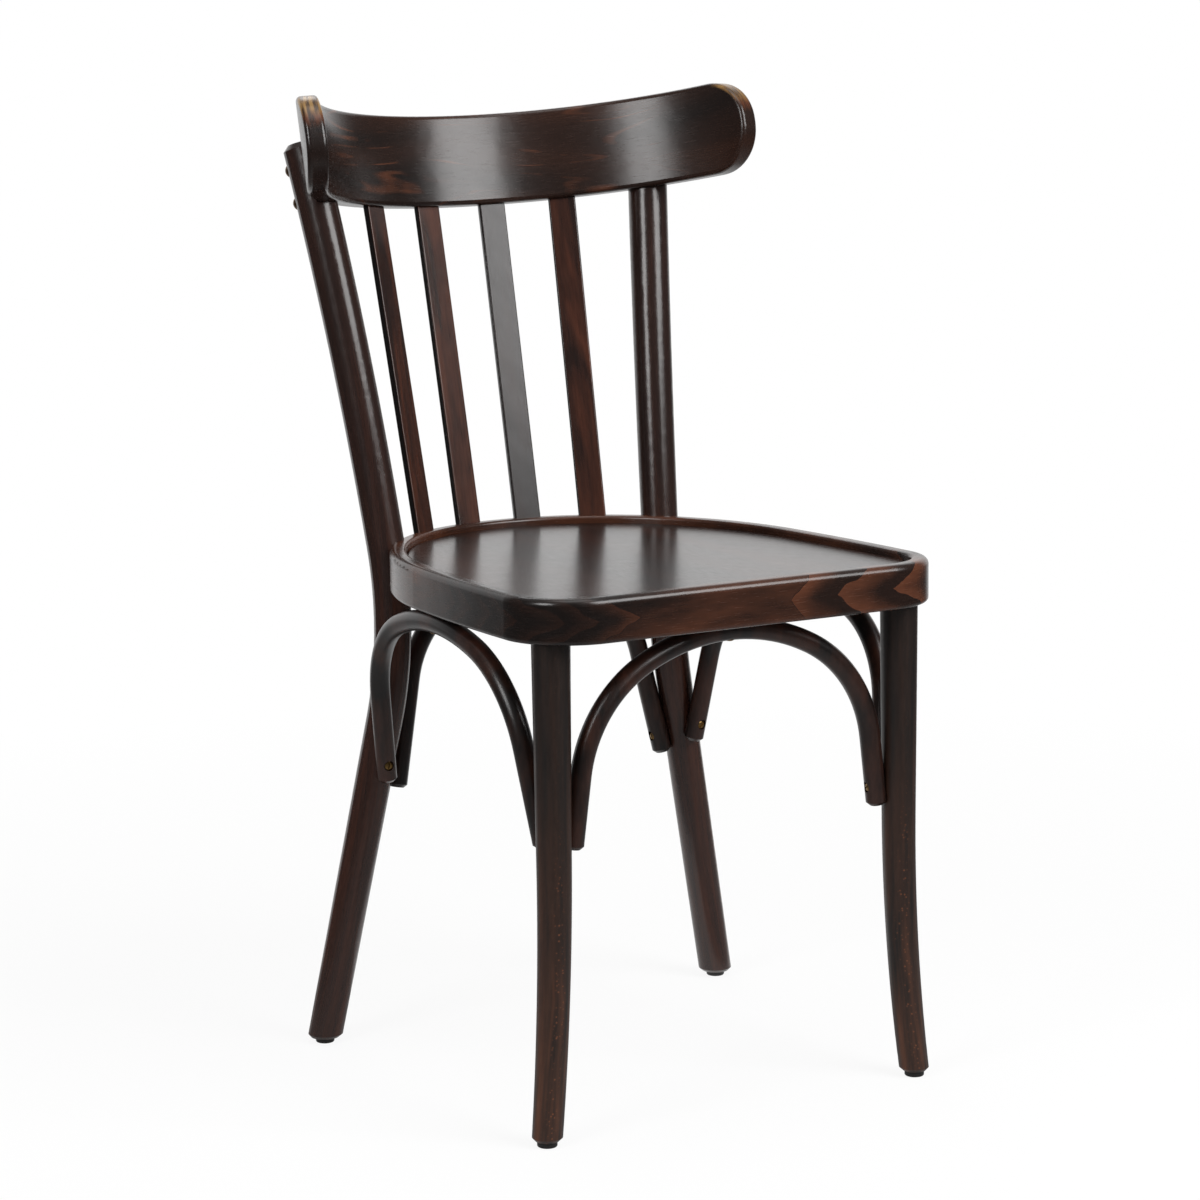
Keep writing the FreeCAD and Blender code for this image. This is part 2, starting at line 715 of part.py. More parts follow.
# Arches, flattened under the ring and coped to the legs
planes = {"front": arch_plane("front"), "back": arch_plane("back"), "left": arch_plane("left")}
leg_paths = {
    "front": (front_leg_path, front_leg_path),
    "back": (post_path, post_path),
    "left": (front_leg_path, post_path),
}
flat_top = half_space(point(0, 0, ring_bottom), up)
arches = {}
end_screws = []
crown_screws = []
for name, plane in planes.items():
    arch = make_arch(plane).cut(flat_top)
    for leg in (front_leg, mirrored(front_leg), post, mirrored(post)):
        arch = largest(arch.cut(leg))
    rim, direction = crown_screw(plane)
    hole = screw_hole(rim, direction, crown_screw_length, crown_screw_recess)
    arch = arch.cut(hole)
    ring = ring.cut(hole)
    crown_screws.append(wood_screw(rim, direction, crown_screw_length))
    if name == "left":
        ring = ring.cut(mirrored(hole))
        crown_screws.append(mirrored(crown_screws[-1]))
    for side, path in zip((-1.0, 1.0), leg_paths[name]):
        if name != "left" and side < 0:
            rim, direction = end_screw(plane, 1.0, path)
            hole = mirrored(screw_hole(rim, direction, end_screw_length, end_screw_recess))
            screw = mirrored(wood_screw(rim, direction, end_screw_length))
        else:
            rim, direction = end_screw(plane, side, path)
            hole = screw_hole(rim, direction, end_screw_length, end_screw_recess)
            screw = wood_screw(rim, direction, end_screw_length)
            front_leg = front_leg.cut(hole)
            post = post.cut(hole)
        arch = arch.cut(hole)
        end_screws.append(screw)
        if name == "left":
            end_screws.append(mirrored(screw))
    arches[name] = arch

# Glides nailed under the feet
front_glide = make_glide(axis_at(front_leg_path, glide_height))
back_glide = make_glide(axis_at(post_path, glide_height))
front_leg = front_leg.cut(front_glide)
post = post.cut(back_glide)

pieces = {
    "seat_ring": ring,
    "seat_panel": panel,
    "crest_rail": crest,
    "front_arch": arches["front"],
    "back_arch": arches["back"],
    "arch_end_screws": Part.makeCompound(end_screws),
    "arch_crown_screws": Part.makeCompound(crown_screws),
    "crest_bolts": Part.makeCompound(crest_bolts + [mirrored(bolt) for bolt in crest_bolts]),
    "post_bolts": Part.makeCompound([inside_bolt, mirrored(inside_bolt)]),
    "post_bolt_washers": Part.makeCompound([inside_washer, mirrored(inside_washer)]),
}
pairs = {
    "front_leg": front_leg,
    "back_post": post,
    "outer_slat": outer_slat,
    "inner_slat": inner_slat,
    "side_arch": arches["left"],
    "front_glide": front_glide,
    "back_glide": back_glide,
}
for name, shape in pairs.items():
    pieces[name + "_left"] = shape
    pieces[name + "_right"] = mirrored(shape)

# Written with the origin on the floor, under the middle of the whole chair
box = crest.optimalBoundingBox(False, False)
middle_y = (front_edge_y + box.YMax) / 2.0
os.makedirs("parts", exist_ok=True)
for name, shape in pieces.items():
    moved = shape.copy()
    moved.translate(point(0, -middle_y))
    moved.exportStep("parts/" + name + ".step")
    print(name, moved.isValid(), len(moved.Solids), round(moved.Volume / 1000.0, 2), "cm3")
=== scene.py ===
import math

import bpy
from mathutils import Matrix, Vector


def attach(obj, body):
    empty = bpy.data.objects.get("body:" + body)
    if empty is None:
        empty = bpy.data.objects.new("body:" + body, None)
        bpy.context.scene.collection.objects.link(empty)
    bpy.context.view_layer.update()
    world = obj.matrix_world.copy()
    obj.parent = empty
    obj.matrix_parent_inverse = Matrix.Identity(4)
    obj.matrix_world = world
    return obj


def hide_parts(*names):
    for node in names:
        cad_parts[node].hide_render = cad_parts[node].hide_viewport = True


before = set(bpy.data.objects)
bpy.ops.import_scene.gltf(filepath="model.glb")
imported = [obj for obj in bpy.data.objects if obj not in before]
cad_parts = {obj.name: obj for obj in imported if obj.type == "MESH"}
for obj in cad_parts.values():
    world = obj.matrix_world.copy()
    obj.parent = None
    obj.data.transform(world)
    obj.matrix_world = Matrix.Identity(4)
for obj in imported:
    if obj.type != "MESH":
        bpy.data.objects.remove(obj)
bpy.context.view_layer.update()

# Bentwood chair: beech, stained dark brown and lacquered. Metres, floor at Z = 0, the sitter
# faces -Y. The solids of the frame are kept and get the finish of the real pieces, apart from
# the arch screws, which are modelled here with their slots.


# Seat ring: one length of solid beech, steamed, bent round and scarf-jointed, then moulded
# with a round top arris and a rebate for the panel. Flat-sawn growth rings cross its front
# band as arrowheads that point to the middle, reddish where the stain took least, and the
# lacquer over it is satin, so lights on it are soft.
def to_linear(code):
    """Linear colour from an sRGB hex value."""
    channels = [int(code[place:place + 2], 16) / 255.0 for place in (1, 3, 5)]
    levels = []
    for value in channels:
        levels.append(value / 12.92 if value <= 0.04045 else ((value + 0.055) / 1.055) ** 2.4)
    return (*levels, 1.0)


def add(tree, kind, settings=None, links=None):
    """Adds a node, sets its properties or sockets, and links other nodes' outputs to it.

    A socket goes by its name, or by its number where a node has several of one name."""
    node = tree.nodes.new(kind)
    for name, value in (settings or {}).items():
        if isinstance(name, str) and hasattr(node, name):
            setattr(node, name, value)
        else:
            node.inputs[name].default_value = value
    for name, output in (links or {}).items():
        tree.links.new(output, node.inputs[name])
    return node


# Sockets of a Mix node: the share, two plain values, two colours, and the mixed colour.
mix_share = 0
mix_value_0 = 2
mix_value_1 = 3
mix_colour_0 = 6
mix_colour_1 = 7
mixed_colour = 2


def new_material(name):
    """Empty material and its node tree."""
    material = bpy.data.materials.new(name)
    material.use_nodes = True
    material.node_tree.nodes.clear()
    return material, material.node_tree


def dress(node_names, material):
    """Gives the solids of some nodes one finish."""
    for name in node_names:
        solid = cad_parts[name]
        solid.data.materials.clear()
        solid.data.materials.append(material)


def lacquered_beech(tree, grain, figure, dark, warm, roughness):
    """Stained beech under satin lacquer.

    The grain is a vector in metres, X along the fibres. The figure runs from 0, where the
    stain went in deep, to 1, where the paler wood shows through it. The pores of beech are
    under 0.1 mm wide, too fine to show, so they are drawn coarser."""
    pore_length = 0.014
    pore_width = 0.0012
    brush_wave = 0.0222
    wave_depth = 0.0004
    pore_depth = 0.0002
    pore_map = add(tree, "ShaderNodeMapping",
                   {"Scale": (1.0 / pore_length, 1.0 / pore_width, 1.0 / pore_width)},
                   {"Vector": grain})
    pores = add(tree, "ShaderNodeTexNoise", {"Scale": 1.0, "Detail": 2.0, "Roughness": 0.6},
                {"Vector": pore_map.outputs[0]})
    # The figure also carries painted light where a caller puts it in: the glint on the crest's ends
    # and the shade on the slats' narrow sides.
    stained = add(tree, "ShaderNodeMix",
                  {"data_type": "RGBA", mix_colour_0: to_linear(dark),
                   mix_colour_1: to_linear(warm)}, {mix_share: figure})
    shade = add(tree, "ShaderNodeMapRange",
                {"From Min": 0.3, "From Max": 0.7, "To Min": 0.86, "To Max": 1.14},
                {"Value": pores.outputs[0]})
    colour = add(tree, "ShaderNodeVectorMath", {"operation": "SCALE"},
                 {0: stained.outputs[mixed_colour], "Scale": shade.outputs[0]})
    gloss = add(tree, "ShaderNodeMapRange",
                {"From Min": 0.3, "From Max": 0.7, "To Min": roughness - 0.02,
                 "To Max": roughness + 0.03}, {"Value": pores.outputs[0]})
    wave = add(tree, "ShaderNodeTexNoise", {"Scale": 1.0 / brush_wave, "Detail": 1.0},
               {"Vector": grain})
    brushed = add(tree, "ShaderNodeBump", {"Strength": 0.25, "Distance": wave_depth},
                  {"Height": wave.outputs[0]})
    open_grain = add(tree, "ShaderNodeBump", {"Strength": 0.03, "Distance": pore_depth},
                     {"Height": pores.outputs[0], "Normal": brushed.outputs[0]})
    lacquer = add(tree, "ShaderNodeBsdfPrincipled", {"IOR": 1.5},
                  {"Base Color": colour.outputs[0], "Roughness": gloss.outputs[0],
                   "Normal": open_grain.outputs[0]})
    add(tree, "ShaderNodeOutputMaterial", {}, {"Surface": lacquer.outputs[0]})
    return lacquer, colour.outputs[0]


ring_middle_y = -0.0437
ring_mean_radius = 0.215
ring_middle_z = 0.441
ring_depth_squeeze = 0.15
heart_to_right = 0.036
heart_half_length = 0.0665
growth_spacing_left = 0.046
growth_spacing_right = 0.026
arrow_sweep = 1.3
wander_size = 0.0455
wander_reach = 0.009
stain_patch_size = 0.111
heart_streak_length = 0.111
heart_streak_width = 0.0294
ring_wood, tree = new_material("stained_bent_beech_ring")
place = add(tree, "ShaderNodeTexCoord")
parts = add(tree, "ShaderNodeSeparateXYZ", {}, {0: place.outputs["Object"]})
forward = add(tree, "ShaderNodeMath", {"operation": "SUBTRACT", 0: ring_middle_y},
              {1: parts.outputs["Y"]})
angle = add(tree, "ShaderNodeMath", {"operation": "ARCTAN2"},
            {0: parts.outputs["X"], 1: forward.outputs[0]})
length = add(tree, "ShaderNodeMath", {"operation": "MULTIPLY", 1: ring_mean_radius},
             {0: angle.outputs[0]})
plan = add(tree, "ShaderNodeCombineXYZ", {}, {"X": parts.outputs["X"], "Y": forward.outputs[0]})
radius = add(tree, "ShaderNodeVectorMath", {"operation": "LENGTH"}, {0: plan.outputs[0]})
inward = add(tree, "ShaderNodeMath", {"operation": "MULTIPLY", 1: ring_depth_squeeze},
             {0: radius.outputs["Value"]})
grain = add(tree, "ShaderNodeCombineXYZ", {},
            {"X": length.outputs[0], "Y": parts.outputs["Z"], "Z": inward.outputs[0]})

# Arrowheads: a point's distance from the heart, swept back above and below mid-height, is
# cut into growth rings that start bright and fade.
from_heart = add(tree, "ShaderNodeMath", {"operation": "ADD", 1: heart_to_right},
                 {0: length.outputs[0]})
side = add(tree, "ShaderNodeMath", {"operation": "ABSOLUTE"}, {0: from_heart.outputs[0]})
left_of_heart = add(tree, "ShaderNodeMath", {"operation": "GREATER_THAN", 1: 0.0},
                    {0: from_heart.outputs[0]})
wander = add(tree, "ShaderNodeTexNoise",
             {"Scale": 1.0 / wander_size, "Detail": 2.0, "Roughness": 0.55},
             {"Vector": place.outputs["Object"]})
sway = add(tree, "ShaderNodeMapRange",
           {"From Min": 0.3, "From Max": 0.7, "To Min": -wander_reach, "To Max": wander_reach},
           {"Value": wander.outputs[0]})
rise = add(tree, "ShaderNodeMath", {"operation": "SUBTRACT", 1: ring_middle_z},
           {0: parts.outputs["Z"]})
arm = add(tree, "ShaderNodeMath", {"operation": "ABSOLUTE"}, {0: rise.outputs[0]})
swept = add(tree, "ShaderNodeMath", {"operation": "MULTIPLY_ADD", 1: -arrow_sweep},
            {0: arm.outputs[0], 2: side.outputs[0]})
drawn = add(tree, "ShaderNodeMath", {"operation": "ADD"}, {0: swept.outputs[0], 1: sway.outputs[0]})
past_heart = add(tree, "ShaderNodeMath", {"operation": "SUBTRACT", 1: heart_half_length},
                 {0: drawn.outputs[0]})
density = add(tree, "ShaderNodeMapRange",
              {"To Min": 1.0 / growth_spacing_right, "To Max": 1.0 / growth_spacing_left},
              {"Value": left_of_heart.outputs[0]})
count = add(tree, "ShaderNodeMath", {"operation": "MULTIPLY"},
            {0: past_heart.outputs[0], 1: density.outputs[0]})
tooth = add(tree, "ShaderNodeMath", {"operation": "FRACT"}, {0: count.outputs[0]})
arrow = add(tree, "ShaderNodeMapRange",
            {"interpolation_type": "SMOOTHSTEP", "From Min": 0.0, "From Max": 0.75,
             "To Min": 1.0, "To Max": 0.1}, {"Value": tooth.outputs[0]})

# The stain took unevenly in patches, and the figure fades out towards the front corner on
# the sitter's right. The sides and the back show no arrowheads.
patch = add(tree, "ShaderNodeTexNoise", {"Scale": 1.0 / stain_patch_size, "Detail": 1.0},
            {"Vector": place.outputs["Object"]})
strength = add(tree, "ShaderNodeMapRange",
               {"From Min": 0.36, "From Max": 0.62, "To Min": 0.08, "To Max": 0.56},
               {"Value": patch.outputs[0]})
front_only = add(tree, "ShaderNodeMapRange",
                 {"From Min": 0.235, "From Max": 0.300, "To Min": 1.0, "To Max": 0.0},
                 {"Value": side.outputs[0]})
corner_fade = add(tree, "ShaderNodeMapRange",
               {"interpolation_type": "SMOOTHSTEP", "From Min": -0.17, "From Max": -0.05,
                "To Min": 0.12, "To Max": 1.0}, {"Value": parts.outputs["X"]})
uneven = add(tree, "ShaderNodeMath", {"operation": "MULTIPLY"},
             {0: strength.outputs[0], 1: corner_fade.outputs[0]})
arrows_all = add(tree, "ShaderNodeMath", {"operation": "MULTIPLY"},
                 {0: arrow.outputs[0], 1: uneven.outputs[0]})
arrows = add(tree, "ShaderNodeMath", {"operation": "MULTIPLY"},
             {0: arrows_all.outputs[0], 1: front_only.outputs[0]})

# Heart: long streaks between the arrowheads, paler towards the lower edge.
heart_map = add(tree, "ShaderNodeMapping",
                {"Scale": (1.0 / heart_streak_length, 1.0 / heart_streak_width,
                           1.0 / heart_streak_length)}, {"Vector": grain.outputs[0]})
heart = add(tree, "ShaderNodeTexNoise", {"Scale": 1.0, "Detail": 3.0, "Roughness": 0.6},
            {"Vector": heart_map.outputs[0]})
heart_low = add(tree, "ShaderNodeMapRange",
                {"From Min": 0.424, "From Max": 0.452, "To Min": -0.08, "To Max": -0.33},
                {"Value": parts.outputs["Z"]})
heart_sum = add(tree, "ShaderNodeMath", {"operation": "ADD", "use_clamp": True},
                {0: heart.outputs[0], 1: heart_low.outputs[0]})
heart_tone = add(tree, "ShaderNodeMath", {"operation": "MULTIPLY"},
                 {0: heart_sum.outputs[0], 1: corner_fade.outputs[0]})
outside = add(tree, "ShaderNodeMapRange",
              {"From Min": heart_half_length - 0.002, "From Max": heart_half_length + 0.0005},
              {"Value": drawn.outputs[0]})
figure_front = add(tree, "ShaderNodeMix", {},
                   {mix_share: outside.outputs[0], mix_value_0: heart_tone.outputs[0],
                    mix_value_1: arrows.outputs[0]})
rear_tone = add(tree, "ShaderNodeMapRange",
                {"From Min": 0.35, "From Max": 0.7, "To Min": 0.05, "To Max": 0.45},
                {"Value": heart.outputs[0]})
figure = add(tree, "ShaderNodeMix", {},
             {mix_share: front_only.outputs[0], mix_value_0: rear_tone.outputs[0],
              mix_value_1: figure_front.outputs[0]})
lacquered_beech(tree, grain.outputs[0], figure.outputs[0], "#130d0b", "#72412a", 0.25)
dress(["seat_ring"], ring_wood)


# Seat panel: thin pressed beech plywood, laid in the ring's rebate and glued. Its face veneer
# runs front to back, almost black, under a smooth coat of lacquer that mirrors the slats.
veneer_length = 0.333
veneer_width = 0.0385
panel_wood, tree = new_material("stained_beech_plywood")
place = add(tree, "ShaderNodeTexCoord")
parts = add(tree, "ShaderNodeSeparateXYZ", {}, {0: place.outputs["Object"]})
grain = add(tree, "ShaderNodeCombineXYZ", {}, {"X": parts.outputs["Y"], "Y": parts.outputs["X"],
                                               "Z": parts.outputs["Z"]})
veneer_map = add(tree, "ShaderNodeMapping",
                 {"Scale": (1.0 / veneer_length, 1.0 / veneer_width, 1.0 / veneer_width)},
                 {"Vector": grain.outputs[0]})
veneer = add(tree, "ShaderNodeTexNoise", {"Scale": 1.0, "Detail": 3.0, "Distortion": 0.6},
             {"Vector": veneer_map.outputs[0]})
figure = add(tree, "ShaderNodeMapRange",
             {"From Min": 0.35, "From Max": 0.7, "To Min": 0.0, "To Max": 0.8},
             {"Value": veneer.outputs[0]})
lacquered_beech(tree, grain.outputs[0], figure.outputs[0], "#150e0c", "#351d15", 0.235)
dress(["seat_panel"], panel_wood)


# Front legs: turned beech, tapered to the foot and steamed outward near it. Their lacquer is
# thin, duller than on the seat. Small orange flecks, the wood's rays, stand in a column down
# each leg.
front_leg_axis_x = 0.1715
front_leg_knee_z = 0.125
front_leg_flare = 0.112
leg_streak_length = 0.2
leg_streak_width = 0.0091
ray_length = 0.0034
ray_width = 0.0036
ray_column_to_right = 0.004
leg_wood, tree = new_material("stained_turned_beech_leg")
place = add(tree, "ShaderNodeTexCoord")
parts = add(tree, "ShaderNodeSeparateXYZ", {}, {0: place.outputs["Object"]})
drop = add(tree, "ShaderNodeMath", {"operation": "SUBTRACT", 0: front_leg_knee_z},
           {1: parts.outputs["Z"]})
below = add(tree, "ShaderNodeMath", {"operation": "MAXIMUM", 1: 0.0}, {0: drop.outputs[0]})
axis_x = add(tree, "ShaderNodeMath",
             {"operation": "MULTIPLY_ADD", 1: front_leg_flare, 2: front_leg_axis_x},
             {0: below.outputs[0]})
hand = add(tree, "ShaderNodeMath", {"operation": "SIGN"}, {0: parts.outputs["X"]})
leg_x = add(tree, "ShaderNodeMath", {"operation": "MULTIPLY"},
            {0: axis_x.outputs[0], 1: hand.outputs[0]})
aside = add(tree, "ShaderNodeMath", {"operation": "SUBTRACT"},
            {0: parts.outputs["X"], 1: leg_x.outputs[0]})
grain = add(tree, "ShaderNodeCombineXYZ", {}, {"X": parts.outputs["Z"], "Y": aside.outputs[0],
                                               "Z": parts.outputs["Y"]})
streak_map = add(tree, "ShaderNodeMapping",
                 {"Scale": (1.0 / leg_streak_length, 1.0 / leg_streak_width,
                            1.0 / leg_streak_width)}, {"Vector": grain.outputs[0]})
streak = add(tree, "ShaderNodeTexNoise", {"Scale": 1.0, "Detail": 3.0, "Roughness": 0.6},
             {"Vector": streak_map.outputs[0]})
streaks = add(tree, "ShaderNodeMapRange",
              {"From Min": 0.35, "From Max": 0.7, "To Min": 0.0, "To Max": 0.24},
              {"Value": streak.outputs[0]})
lower = add(tree, "ShaderNodeMapRange",
            {"From Min": 0.04, "From Max": 0.30, "To Min": 2.3, "To Max": 0.5},
            {"Value": parts.outputs["Z"]})
body_tone = add(tree, "ShaderNodeMath", {"operation": "MULTIPLY"},
                {0: streaks.outputs[0], 1: lower.outputs[0]})

# Rays: the cores of small cells, kept to one column and to the lower half of the leg.
ray_map = add(tree, "ShaderNodeMapping",
              {"Scale": (1.0 / ray_length, 1.0 / ray_width, 1.0 / ray_width)},
              {"Vector": grain.outputs[0]})
ray = add(tree, "ShaderNodeTexVoronoi", {"Scale": 1.0, "Randomness": 1.0},
          {"Vector": ray_map.outputs[0]})
ray_core = add(tree, "ShaderNodeMapRange",
               {"From Min": 0.10, "From Max": 0.36, "To Min": 0.85, "To Max": 0.0},
               {"Value": ray.outputs["Distance"]})
column = add(tree, "ShaderNodeMath", {"operation": "ADD", 1: ray_column_to_right},
             {0: aside.outputs[0]})
column_far = add(tree, "ShaderNodeMath", {"operation": "ABSOLUTE"}, {0: column.outputs[0]})
column_mask = add(tree, "ShaderNodeMapRange",
                  {"From Min": 0.0015, "From Max": 0.0070, "To Min": 1.0, "To Max": 0.0},
                  {"Value": column_far.outputs[0]})
ray_reach = add(tree, "ShaderNodeMapRange",
                {"From Min": 0.17, "From Max": 0.28, "To Min": 1.0, "To Max": 0.15},
                {"Value": parts.outputs["Z"]})
rays = add(tree, "ShaderNodeMath", {"operation": "MULTIPLY"},
           {0: ray_core.outputs[0], 1: column_mask.outputs[0]})
rays_low = add(tree, "ShaderNodeMath", {"operation": "MULTIPLY"},
               {0: rays.outputs[0], 1: ray_reach.outputs[0]})
figure = add(tree, "ShaderNodeMath", {"operation": "MAXIMUM"},
             {0: body_tone.outputs[0], 1: rays_low.outputs[0]})
lacquered_beech(tree, grain.outputs[0], figure.outputs[0], "#171210", "#74442a", 0.38)
dress(["front_leg_left", "front_leg_right"], leg_wood)


# Back posts: one turned beech rod each, steamed and bent at the seat, so the fibres follow
# the rod from the foot to the top, where the crest is bolted on.
post_heights = (0.0, 0.30, 0.46, 0.86)
post_axis_x = (0.2121, 0.1540, 0.1455, 0.1835)
post_axis_y = (0.1333, 0.1103, 0.1240, 0.2080)
post_streak_length = 0.25
post_streak_width = 0.00833
post_wood, tree = new_material("stained_turned_beech_post")
place = add(tree, "ShaderNodeTexCoord")
parts = add(tree, "ShaderNodeSeparateXYZ", {}, {0: place.outputs["Object"]})

# The axis of the bent post at each height, so that the streaks follow it.
offsets = []
for line in (post_axis_x, post_axis_y):
    follow = add(tree, "ShaderNodeFloatCurve", {}, {"Value": parts.outputs["Z"]})
    curve = follow.mapping.curves[0]
    curve.points[0].location = (post_heights[0], line[0])
    curve.points[1].location = (post_heights[-1], line[-1])
    for spot in (1, 2):
        curve.points.new(post_heights[spot], line[spot])
    follow.mapping.update()
    offsets.append(follow.outputs[0])
apart = add(tree, "ShaderNodeMath", {"operation": "ABSOLUTE"}, {0: parts.outputs["X"]})
aside = add(tree, "ShaderNodeMath", {"operation": "SUBTRACT"}, {0: apart.outputs[0], 1: offsets[0]})
behind = add(tree, "ShaderNodeMath", {"operation": "SUBTRACT"},
             {0: parts.outputs["Y"], 1: offsets[1]})
grain = add(tree, "ShaderNodeCombineXYZ", {}, {"X": parts.outputs["Z"], "Y": aside.outputs[0],
                                               "Z": behind.outputs[0]})
hand = add(tree, "ShaderNodeMath", {"operation": "SIGN"}, {0: parts.outputs["X"]})
own = add(tree, "ShaderNodeVectorMath", {"operation": "ADD"},
          {0: grain.outputs[0], 1: hand.outputs[0]})
streak_map = add(tree, "ShaderNodeMapping",
                 {"Scale": (1.0 / post_streak_length, 1.0 / post_streak_width,
                            1.0 / post_streak_width)}, {"Vector": own.outputs[0]})
streak = add(tree, "ShaderNodeTexNoise", {"Scale": 1.0, "Detail": 3.0, "Roughness": 0.6},
             {"Vector": streak_map.outputs[0]})
streaks = add(tree, "ShaderNodeMapRange",
              {"From Min": 0.4, "From Max": 0.72, "To Min": 0.12, "To Max": 0.34},
              {"Value": streak.outputs[0]})
above_seat = add(tree, "ShaderNodeMapRange",
                 {"From Min": 0.34, "From Max": 0.52, "To Min": 1.9, "To Max": 0.9},
                 {"Value": parts.outputs["Z"]})
figure = add(tree, "ShaderNodeMath", {"operation": "MULTIPLY"},
             {0: streaks.outputs[0], 1: above_seat.outputs[0]})
lacquered_beech(tree, own.outputs[0], figure.outputs[0], "#1a1312", "#4e2b1e", 0.22)
dress(["back_post_left", "back_post_right"], post_wood)


# Slats: four flat strips of beech, tenoned into the ring and the crest, redder than the
# rest, with straight fine lines and here and there a slanting flame. Their narrow sides are
# painted darker, as shade, and the strip on the sitter's left of the middle has less figure.
slat_lean = 0.219
dark_strip_x = 0.034
fine_line_length = 0.25
fine_line_width = 0.00303
fine_line_share = 0.20
flame_length = 0.111
flame_width = 0.0182
flame_slant = math.radians(7.0)
slat_wood, tree = new_material("stained_beech_strip")
place = add(tree, "ShaderNodeTexCoord")
parts = add(tree, "ShaderNodeSeparateXYZ", {}, {0: place.outputs["Object"]})
behind = add(tree, "ShaderNodeMath", {"operation": "MULTIPLY_ADD", 1: -slat_lean},
             {0: parts.outputs["Z"], 2: parts.outputs["Y"]})
grain = add(tree, "ShaderNodeCombineXYZ", {}, {"X": parts.outputs["Z"], "Y": parts.outputs["X"],
                                               "Z": behind.outputs[0]})
line_map = add(tree, "ShaderNodeMapping",
               {"Scale": (1.0 / fine_line_length, 1.0 / fine_line_width, 1.0 / fine_line_width)},
               {"Vector": grain.outputs[0]})
fine = add(tree, "ShaderNodeTexNoise", {"Scale": 1.0, "Detail": 2.0, "Roughness": 0.6},
           {"Vector": line_map.outputs[0]})
flame_map = add(tree, "ShaderNodeMapping",
                {"Scale": (1.0 / flame_length, 1.0 / flame_width, 1.0 / flame_width),
                 "Rotation": (0.0, 0.0, flame_slant)},
                {"Vector": grain.outputs[0]})
flame = add(tree, "ShaderNodeTexNoise", {"Scale": 1.0, "Detail": 2.0, "Distortion": 0.8},
            {"Vector": flame_map.outputs[0]})
blend = add(tree, "ShaderNodeMath", {"operation": "MULTIPLY_ADD", 1: fine_line_share},
            {0: fine.outputs[0], 2: flame.outputs[0]})
flamed = add(tree, "ShaderNodeMapRange",
             {"From Min": 0.42, "From Max": 0.78, "To Min": 0.1, "To Max": 1.0},
             {"Value": blend.outputs[0]})

# Less figure on the narrow sides, as painted shade, and on the one dark strip.
faces = add(tree, "ShaderNodeNewGeometry")
turned = add(tree, "ShaderNodeVectorMath", {"operation": "DOT_PRODUCT", 1: (1.0, 0.0, 0.0)},
             {0: faces.outputs["Normal"]})
sideways = add(tree, "ShaderNodeMath", {"operation": "ABSOLUTE"}, {0: turned.outputs["Value"]})
front = add(tree, "ShaderNodeMapRange",
            {"From Min": 0.42, "From Max": 0.65, "To Min": 1.0, "To Max": 0.0},
            {"Value": sideways.outputs[0]})
off_dark_strip = add(tree, "ShaderNodeMath", {"operation": "SUBTRACT", 1: dark_strip_x},
                     {0: parts.outputs["X"]})
strip_far = add(tree, "ShaderNodeMath", {"operation": "ABSOLUTE"}, {0: off_dark_strip.outputs[0]})
strip_tone = add(tree, "ShaderNodeMapRange",
                 {"From Min": 0.022, "From Max": 0.026, "To Min": 0.12, "To Max": 1.0},
                 {"Value": strip_far.outputs[0]})
shaded = add(tree, "ShaderNodeMath", {"operation": "MULTIPLY"},
             {0: front.outputs[0], 1: strip_tone.outputs[0]})
figure = add(tree, "ShaderNodeMath", {"operation": "MULTIPLY"},
             {0: flamed.outputs[0], 1: shaded.outputs[0]})
lacquered_beech(tree, grain.outputs[0], figure.outputs[0], "#150e0d", "#502b1d", 0.24)
dress(["outer_slat_left", "outer_slat_right", "inner_slat_left", "inner_slat_right"], slat_wood)


# Crest rail: a beech board bent round the sitter's back, its ends rounded and its arrises
# eased. Thin reddish growth lines run along the bend, and a glint is painted on the upper part
# of each rounded end, golden at the top.
crest_centre = (0.0, 0.0236, 0.8328)
crest_axis_tilt = math.radians(-10.9)
crest_bend_radius = 0.2285
crest_end_centre = 0.2621
crest_end_radius = 0.0408
board_streak_length = 0.3125
board_streak_width = 0.0526
board_streak_depth = 0.333
growth_lines = 11.0
bright_patch_size = 0.0588
glint_depth_full = 0.0018
glint_depth_none = 0.0032
end_streak_size = 0.025
end_streak_depth = 0.00238
crest_wood, tree = new_material("stained_bent_beech_crest")
place = add(tree, "ShaderNodeTexCoord")
unbent = add(tree, "ShaderNodeMapping",
             {"vector_type": "TEXTURE", "Location": crest_centre,
              "Rotation": (crest_axis_tilt, 0.0, 0.0)},
             {"Vector": place.outputs["Object"]})
parts = add(tree, "ShaderNodeSeparateXYZ", {}, {0: unbent.outputs[0]})
angle = add(tree, "ShaderNodeMath", {"operation": "ARCTAN2"},
            {0: parts.outputs["X"], 1: parts.outputs["Y"]})
length = add(tree, "ShaderNodeMath", {"operation": "MULTIPLY", 1: crest_bend_radius},
             {0: angle.outputs[0]})
bend_plan = add(tree, "ShaderNodeCombineXYZ", {},
                {"X": parts.outputs["X"], "Y": parts.outputs["Y"]})
bend_radius = add(tree, "ShaderNodeVectorMath", {"operation": "LENGTH"}, {0: bend_plan.outputs[0]})
grain = add(tree, "ShaderNodeCombineXYZ", {}, {"X": length.outputs[0], "Y": parts.outputs["Z"],
                                               "Z": bend_radius.outputs["Value"]})

